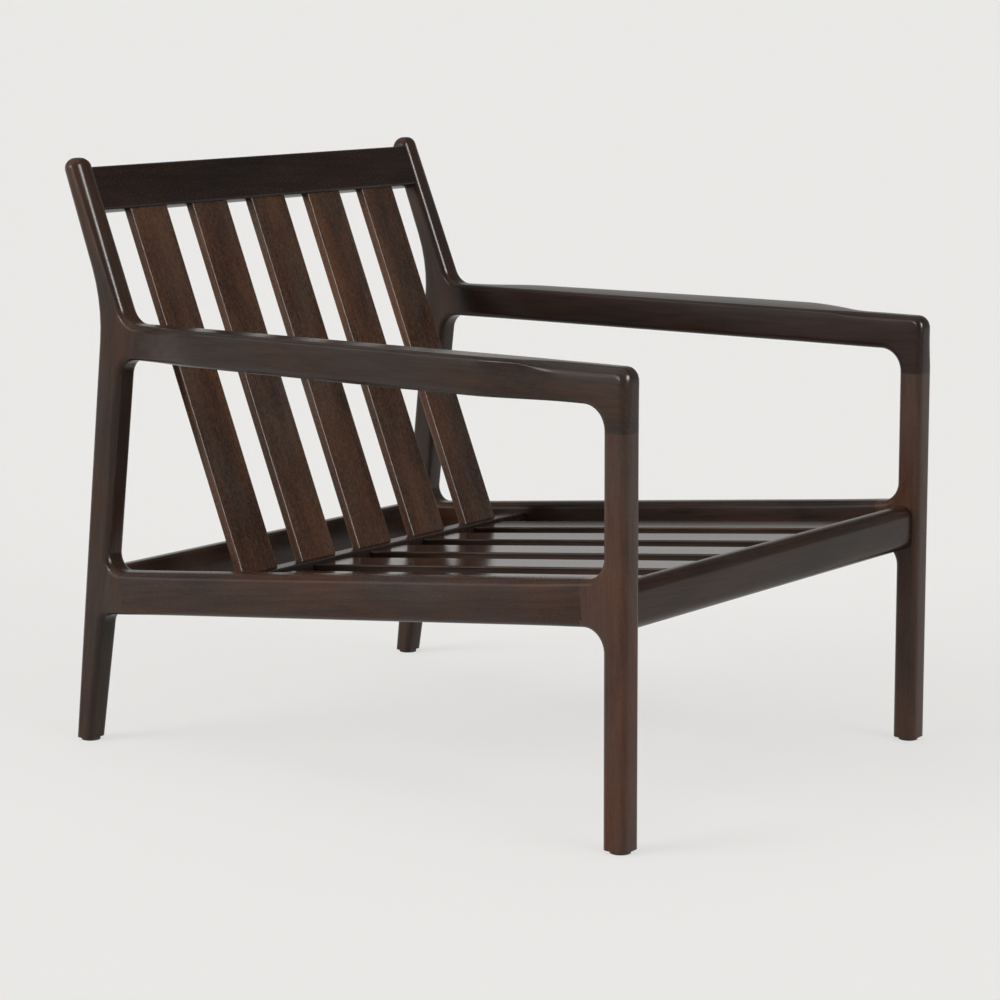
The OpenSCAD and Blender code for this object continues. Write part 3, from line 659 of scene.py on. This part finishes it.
def plate_steps():
    """Steps over a plate's thickness: (place between the outer and inner edge, how far the step
    lies over towards the flat side, how deep it lies), the last two as shares of the radius."""
    edge = []
    for k in range(EDGE_STEPS + 1):
        turn = 90 * k / EDGE_STEPS
        edge.append((1 - cos(turn), 1 - sin(turn)))
    steps = [(0, side, depth) for side, depth in edge]
    steps += [(k / SIDE_STEPS, 1, 0) for k in range(1, SIDE_STEPS)]
    steps += [(1, side, depth) for side, depth in reversed(edge)]
    return steps


def rounded_plate(name, s, corners, grain, material, node, seed):
    """A member cut from a board of member_t, with its edges rounded on both faces."""
    points = outline(corners)
    rings = []
    for across, side, depth in plate_steps():
        ring = []
        for p, n in points:
            outer, inner = arris_radius(p, True), arris_radius(p, False)
            r = outer if across == 0 else inner
            x = (member_t / 2 - r * side) * (-1 if across == 0 else 1)
            if 0 < across < 1:
                x = mix(outer - member_t / 2, member_t / 2 - inner, across)
            u = 2 * x / member_t
            ring.append(row(s * (member_x - x), p - n * (r * depth + THIN_CROWN * u * u)))
        rings.append(ring)
    return skin(name, rings, grain, material, node, seed)


def board_grain(line):
    """Fibres along a line of the side view: across, through, along."""
    p, d = Vector((line[0].x - y_mid, line[0].y)) * MM, line[1].normalized()
    return lambda v: (cross2(d, Vector((v.y, v.z)) - p), v.x, d.dot(Vector((v.y, v.z)) - p))


def rear_leg_grain(v):
    """Fibres that follow the bend between leg and post."""
    p = Vector((knee.x - y_mid, knee.y)) * MM
    low, high = rear_leg_back[1].normalized(), post_back[1].normalized()
    q = Vector((v.y, v.z)) - p
    d = high if q.dot(low + high) > 0 else low
    return cross2(d, q), v.x, d.dot(q)


def rear_leg(side, s):
    corners = [
        (*foot_front, 0, "cut starts"),
        (foot_span, foot_z, 0, "cut ends"),
        (*knee, knee_r),
        (*post_tip_back, horn_r * TIP_ROUND),
        (*post_tip, horn_r * TIP_ROUND),
        (*post_root, post_fillet),
        (arm_seam_y, arm_seam_z, 0, "cut starts"),
        (arm_seam_y, arm_seam_z - arm_d, 0, "cut ends"),
        (*window_top, window_fillet),
        (*meet(rail_top, rear_leg_front), rear_fillet),
        (*rear_seam_top, 0, "cut starts"),
        (*rear_seam_low, 0, "cut ends"),
        (*meet(rail_under, rear_foot_front), foot_fillet),
    ]
    # The far side's post takes the darker copy of the wood: painted shade
    material = rear_leg_wood if s < 0 else shaded_far_leg_wood
    name, node, seed = f"{side}_rear_post", f"{side}_rear_leg", SEED["rear_leg"] + s
    return rounded_plate(name, s, corners, rear_leg_grain, material, node, seed)


def front_leg(side, s):
    corners = [
        (0, foot_z, 0, "cut starts"),
        (front_leg_d, foot_z, 0, "cut ends"),
        (*meet(rail_under, front_leg_back), front_fillet),
        (*front_seam_low, 0, "cut starts"),
        (*front_seam_top, 0, "cut ends"),
        (*meet(rail_top, front_leg_back), front_fillet),
        (*at_height(front_leg_back, leg_seam_z), 0, "cut starts"),
        (*at_height(front_leg_front, leg_seam_z), 0, "cut ends"),
    ]
    grain = board_grain(front_leg_front)
    name, node, seed = f"{side}_front_post", f"{side}_front_leg", SEED["front_leg"] + s
    return rounded_plate(name, s, corners, grain, leg_wood, node, seed)


def swell(y):
    """Swell of the armrest beyond the leg's outer face at a place y of the side view."""
    rear, front = arm_seam_y - y, y - arm_front_y - swell_start
    straight = (arm_swell - arm_swell_rear) * min(1, rear / (arm_l - swell_start - 2 * swell_front_l))
    return smooth(front / swell_front_l) * (arm_swell_rear * smooth(rear / swell_rear_l) + straight)


def arm_ring(s, low, high, fade):
    """One ring of the armrest between a point under it and a point on top of it. fade goes from
    0 at the seams to 1, and lets the sides bulge."""
    b = swell((low.x + high.x) / 2)
    f, h = b / arm_swell, (high - low).length
    up = (high - low) / h
    lift = arm_lift * f / h / (member_t + b)
    swollen = smooth(EDGE_PACE * f)
    radii = (
        mix(edge_r, swell_bottom_r, f),
        edge_r,
        mix(edge_r, arm_inner_r, swollen),
        mix(mix(edge_r, ARM_FRONT_R, fade), swell_top_r, swollen),
    )
    crown = (mix(BROAD_CROWN, ARM_CROWN, f) * fade, THIN_CROWN)
    ring = []
    for x, t in round_rect((-member_t / 2 - b, 0), (member_t / 2, h), radii, crown=crown):
        ring.append(row(s * (member_x - x), low + up * (t * (1 + lift * (member_t / 2 - x)))))
    return ring


def corner_hit(centre, d):
    """Where a ray from the fillet's centre leaves the armrest's outer front corner."""
    top_z = at_place(arm_top, centre.x).y
    arc = Vector((arm_front_y + arm_corner_r, top_z - arm_corner_r))
    flat_hit = centre + d * ((top_z - centre.y) / max(d.y, NO_SLOPE))
    if flat_hit.x > arc.x:
        return flat_hit
    front_hit = centre + d * ((arm_front_y - centre.x) / min(d.x, -NO_SLOPE))
    if front_hit.y < arc.y:
        return front_hit
    m = centre - arc
    half = m.dot(d)
    return centre + d * (-half + math.sqrt(max(0, half * half - m.dot(m) + arm_corner_r ** 2)))


def armrest(side, s):
    """Level rings from the rear leg to the front fillet, and a fan of rings round the corner."""
    centre = Vector((at_height(front_leg_back, leg_seam_z).x + arm_fillet, leg_seam_z))
    rings = []
    for k in range(ARM_STATIONS + 1):
        high = at_place(arm_top, mix(arm_seam_y, centre.x, k / ARM_STATIONS))
        fade = smooth((arm_seam_y - high.x) / CROWN_FADE)
        rings.append(arm_ring(s, high - Vector((0, arm_d)), high, fade))
    low_z = at_place(arm_top, centre.x).y - arm_d
    for k in range(1, FAN_STATIONS + 1):
        t = 90 + 90 * k / FAN_STATIONS
        d = Vector((cos(t), sin(t)))
        low = centre + Vector((arm_fillet * d.x, (low_z - leg_seam_z) * d.y))
        fade = smooth(CORNER_PACE * (1 - k / FAN_STATIONS))
        rings.append(arm_ring(s, low, corner_hit(centre, d), fade))
    # The far side's armrest takes the darker copy of the wood: painted shade
    material = arm_wood if s < 0 else shaded_far_arm_wood
    name, node, seed = f"{side}_arm", f"{side}_armrest", SEED["armrest"] + s
    return skin(name, rings, board_grain(arm_top), material, node, seed)


def side_rail(side, s):
    rings = []
    for k in range(CROWN_STATIONS + 1):
        u = side_rail_l * k / CROWN_STATIONS
        fade = smooth(min(u, side_rail_l - u) / CROWN_FADE)
        low, high = (-member_t / 2, 0), (member_t / 2, side_rail_h)
        crown = (BROAD_CROWN * fade, mix(THIN_CROWN, RAIL_TOP_CROWN, fade))
        section = round_rect(low, high, (edge_r,) * 4, crown=crown)
        station = front_seam_low + seat_fall * u
        rings.append([row(s * (member_x - x), station + seat_up * w) for x, w in section])
    # The far side rail takes the darker rail wood: painted shade
    material = rail_wood if s < 0 else dark_and_shaded_rail_wood
    name, node, seed = f"{side}_seat_rail", f"{side}_side_rail", SEED["side_rail"] + s
    return skin(name, rings, board_grain(rail_top), material, node, seed)


def cross_rail(node, length, origin, fall, a, b, radii, material):
    """A board across the chair. Its section goes from corner a to corner b in a side view that
    starts at origin and is turned by fall degrees."""
    d = Vector((cos(fall), -sin(fall)))
    u = Vector((sin(fall), cos(fall)))

    def place(p, q, w):
        return row(w - length / 2, origin + d * p + u * q)

    def grain(v):
        q = Vector((v.y, v.z))
        return u.dot(q), d.dot(q), v.x

    section = round_rect(a, b, radii, crown=(BROAD_CROWN, THIN_CROWN))
    rings = bar_rings(section, length, place)
    return skin(node + "_board", rings, grain, material, node, SEED[node])


def back_slat(i):
    middle = (i - (SLATS + 1) / 2) * back_pitch
    low, high = (-back_slat_w / 2, 0), (back_slat_w / 2, back_slat_t)
    section = round_rect(low, high, (slat_r,) * 4, SLAT_EDGE_STEPS)

    def place(x, t, s):
        return row(middle + x, post_root + back_out * (slat_setback + t) + back_up * (back_slat_s0 + s))

    def grain(v):
        q = Vector((v.y, v.z))
        return v.x, back_out.dot(q), back_up.dot(q)

    rings = bar_rings(section, back_slat_s1 - back_slat_s0, place)
    name, node, seed = f"back_slat_board_{i}", f"back_slat_{i}", SEED["back_slat"] + i
    return skin(name, rings, grain, slat_wood, node, seed)


def seat_slat(i):
    middle = (i - (SLATS + 1) / 2) * seat_pitch
    low, high = (-seat_slat_w / 2, 0), (seat_slat_w / 2, seat_slat_t)
    section = round_rect(low, high, (slat_r,) * 4, SLAT_EDGE_STEPS)

    def place(x, t, u):
        return row(middle + x, seat_o + seat_fall * (seat_slat_u0 + u) - seat_up * (seat_slat_t - t))

    def grain(v):
        q = Vector((v.y, v.z))
        return v.x, seat_up.dot(q), seat_fall.dot(q)

    rings = bar_rings(section, seat_slat_u1 - seat_slat_u0, place)
    name, node, seed = f"seat_slat_board_{i}", f"seat_slat_{i}", SEED["seat_slat"] + i
    return skin(name, rings, grain, seat_wood, node, seed)


for side, s in (("right", -1), ("left", 1)):
    rear_leg(side, s)
    front_leg(side, s)
    armrest(side, s)
    side_rail(side, s)

long_rail = clear_w + 2 * housing
front_rail_o = Vector((front_rail_y, front_rail_top - front_rail_h))
front_rail_b = (rail_t, front_rail_h)
cross_rail("front_rail", long_rail, front_rail_o, 0, (0, 0), front_rail_b, FRONT_RAIL_R, dark_and_shaded_rail_wood)

rear_rail_a = (0, -rear_rail_h)
rear_rail_b = (rail_t, 0)
cross_rail("rear_rail", clear_w, rear_rail_o, seat_slope, rear_rail_a, rear_rail_b, REAR_RAIL_R, rail_wood)

top_rail_o = post_root + back_up * top_rail_s0
top_rail_a = (top_rail_setback, 0)
top_rail_b = (top_rail_setback + top_rail_t, top_rail_h)
cross_rail("top_rail", long_rail, top_rail_o, back_lean, top_rail_a, top_rail_b, TOP_RAIL_R, crest_wood)

low_rail_a = (low_rail_u0, low_rail_rise - low_rail_h)
low_rail_b = (low_rail_u0 + low_rail_d, low_rail_rise)
cross_rail("lower_back_rail", clear_w, seat_o, seat_slope, low_rail_a, low_rail_b, LOW_RAIL_R, crest_wood)

for i in range(1, SLATS + 1):
    back_slat(i)
    seat_slat(i)

# Nodes that stay as the CAD made them, with better materials
for name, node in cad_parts.items():
    if node.hide_render:
        continue
    kept = inner_wood
    if "screw" in name:
        kept = zinc
    if "glide" in name and "screw" not in name:
        kept = black_plastic
    for spot in node.material_slots:
        spot.material = kept

# Studio: a pale floor without end, a backdrop of the same colour, and soft suns. The camera and
# the lacquer see the floor glow, beside the light that falls on it. The camera sees the backdrop at
# full strength. The wood and the floor get the ROOM's light from it and, from behind the chair
# along BEHIND, the WALL's light too. This fades between the heights of WALL_TOP and between the
# turns of WALL_EDGE, both as parts of a direction.
BACKDROP = (0.823, 0.815, 0.799, 1)
FLOOR_REACH = 400
FLOOR_GLOW = 0.74
FLOOR_TONE = 0.36
FLOOR_ROUGH = 0.9
BEHIND = (0.79, 0.61, 0)
ROOM = 0.13
WALL = 0.66
WALL_TOP = (0.15, 0.6)
WALL_EDGE = (0.15, 0.75)

# Directions that the light comes from: LEFT is the picture's left, FRONT is the chair's front, and
# what comes from CORNER and FRONT_EDGE shines back from the rounded corners and edges
OVERHEAD = (-0.1, 0.15, 1)
LEFT = (-0.78, 0.50, 0.32)
CORNER = (-0.94, 0.14, 0.37)
FRONT = (0.0, -0.90, 0.43)
FRONT_EDGE = (0.06, -0.90, 0.43)
LAMP_AWAY = 4


def studio_floor():
    mesh = bpy.data.meshes.new("floor")
    r = FLOOR_REACH
    mesh.from_pydata([(-r, -r, 0), (r, -r, 0), (r, r, 0), (-r, r, 0)], [], [(0, 1, 2, 3)])
    floor = bpy.data.objects.new("floor", mesh)
    bpy.context.scene.collection.objects.link(floor)
    material = bpy.data.materials.new("floor")
    material.use_nodes = True
    net = Net(material)
    net.shader.inputs["Base Color"].default_value = (*(FLOOR_TONE * c for c in BACKDROP[:3]), 1)
    net.shader.inputs["Roughness"].default_value = FLOOR_ROUGH
    net.shader.inputs["Specular IOR Level"].default_value = 0.0
    path = net.add("ShaderNodeLightPath", "Is Camera Ray", {})
    seen = net.math("MAXIMUM", path, path.node.outputs["Is Glossy Ray"])
    seen = net.math("MAXIMUM", seen, path.node.outputs["Is Transmission Ray"])
    strength = net.math("MULTIPLY", seen, FLOOR_GLOW)
    glow = net.add("ShaderNodeEmission", 0, {"Color": BACKDROP, "Strength": strength})
    both = net.add("ShaderNodeAddShader", 0, {0: net.shader.outputs[0], 1: glow})
    net.links.new(both, net.nodes["Material Output"].inputs["Surface"])
    floor.data.materials.append(material)


def studio_world():
    world = bpy.data.worlds.new("studio")
    bpy.context.scene.world = world
    world.use_nodes = True
    net = Net(world)
    path = net.add("ShaderNodeLightPath", "Is Camera Ray", {})
    seen = net.math("MAXIMUM", path, path.node.outputs["Is Transmission Ray"])
    way = net.add("ShaderNodeTexCoord", "Generated", {})
    height = net.add("ShaderNodeSeparateXYZ", "Z", {0: way})
    behind = net.add("ShaderNodeVectorMath", "Value", {0: way, 1: BEHIND}, operation="DOT_PRODUCT")
    low = net.range(height, *WALL_TOP, 1.0, 0.0)
    wall = net.math("MULTIPLY", low, net.range(behind, *WALL_EDGE))
    strength = net.math("MULTIPLY_ADD", wall, WALL, ROOM)
    background = net.nodes["Background"]
    background.inputs["Color"].default_value = BACKDROP
    net.links.new(net.range(seen, 0.0, 1.0, strength, 1.0), background.inputs["Strength"])


def sun(name, towards, strength, spread, lights=True, shines=True):
    """A soft light that reaches the whole floor alike, from a direction and with a width in
    degrees. It either lights the object, or shines back from its lacquer, or both."""
    data = bpy.data.lights.new(name, "SUN")
    data.energy = strength
    data.angle = math.radians(spread)
    made = bpy.data.objects.new(name, data)
    bpy.context.scene.collection.objects.link(made)
    made.visible_diffuse = lights
    made.visible_glossy = shines
    made.location = Vector(towards) * LAMP_AWAY
    made.rotation_mode = "QUATERNION"
    made.rotation_quaternion = Vector(towards).to_track_quat("Z", "Y")


studio_floor()
studio_world()
sun("top", OVERHEAD, strength=0.8, spread=80)
sun("left", LEFT, strength=1.85, spread=36, shines=False)
sun("left shine", LEFT, strength=0.6, spread=36, lights=False)
sun("corner shine", CORNER, strength=0.9, spread=12, lights=False)
sun("front", FRONT, strength=1.0, spread=40)
sun("front shine", FRONT_EDGE, strength=4.2, spread=26, lights=False)

# Camera, from the photograph's perspective: place in metres, turns in degrees, film and lens in
# millimetres, and how near and far it sees in metres
CAMERA_PLACE = (-3.1016, -2.352, 1.0018)
CAMERA_YAW = 52.809
CAMERA_PITCH = 9.885
CAMERA_ROLL = 0.204
FILM_WIDTH = 36
LENS = 107.9
NEAR_CLIP = 0.1
FAR_CLIP = 1500
camera = bpy.data.objects.new("camera", bpy.data.cameras.new("camera"))
bpy.context.scene.collection.objects.link(camera)
camera.data.sensor_width = FILM_WIDTH
camera.data.lens = LENS
camera.data.clip_start = NEAR_CLIP
camera.data.clip_end = FAR_CLIP
turn = Matrix.Rotation(math.radians(-CAMERA_YAW), 3, "Z")
turn = turn @ Matrix.Rotation(math.radians(90 - CAMERA_PITCH), 3, "X")
turn = turn @ Matrix.Rotation(math.radians(CAMERA_ROLL), 3, "Z")
camera.location = CAMERA_PLACE
camera.rotation_mode = "QUATERNION"
camera.rotation_quaternion = turn.to_quaternion()
bpy.context.scene.camera = camera
bpy.context.scene.view_settings.view_transform = "Standard"
